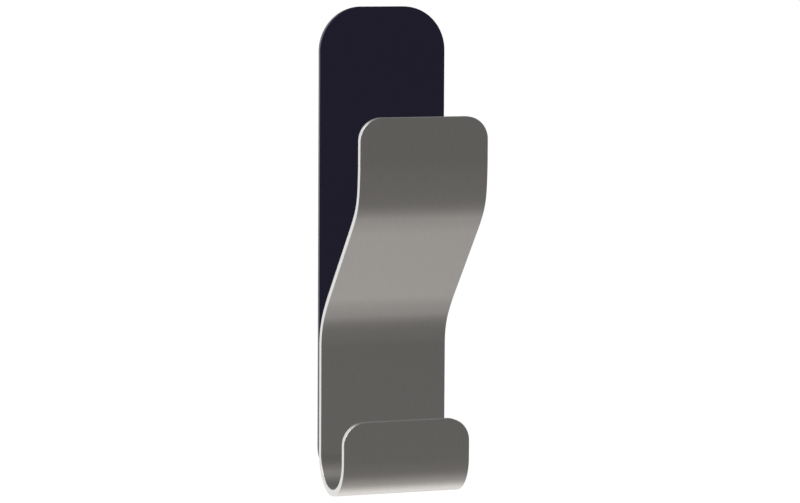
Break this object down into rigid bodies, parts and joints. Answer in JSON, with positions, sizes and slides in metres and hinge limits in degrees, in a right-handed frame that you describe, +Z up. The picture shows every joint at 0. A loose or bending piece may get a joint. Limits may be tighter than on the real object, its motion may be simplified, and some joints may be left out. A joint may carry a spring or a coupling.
{
  "type": "wall hook",
  "caption": "Wall hook: a bent strap of brushed stainless steel with a raised coat tab and a low round hook, on a dark round-cornered back plate with a foam pad.",
  "frame": {"origin": "middle of the foam pad's wall-side face, on the hook's plane of symmetry", "axes": "+X across the hook, +Y into the wall, +Z up; the hook stands out from the wall towards -Y"},
  "size_m": [0.04, 0.0382, 0.1464],
  "materials": {
    "brushed_steel": "fine satin brushed stainless steel, grain along the strap, cut edges brighter",
    "plate_coating": "smooth satin powder coat, very dark blue-black",
    "pad_foam": "matt closed-cell foam tape, dark grey"
  },
  "bodies": {
    "root": {"hook_strap": "brushed_steel", "back_plate": "plate_coating", "adhesive_pad": "pad_foam"}
  },
  "joints": []
}
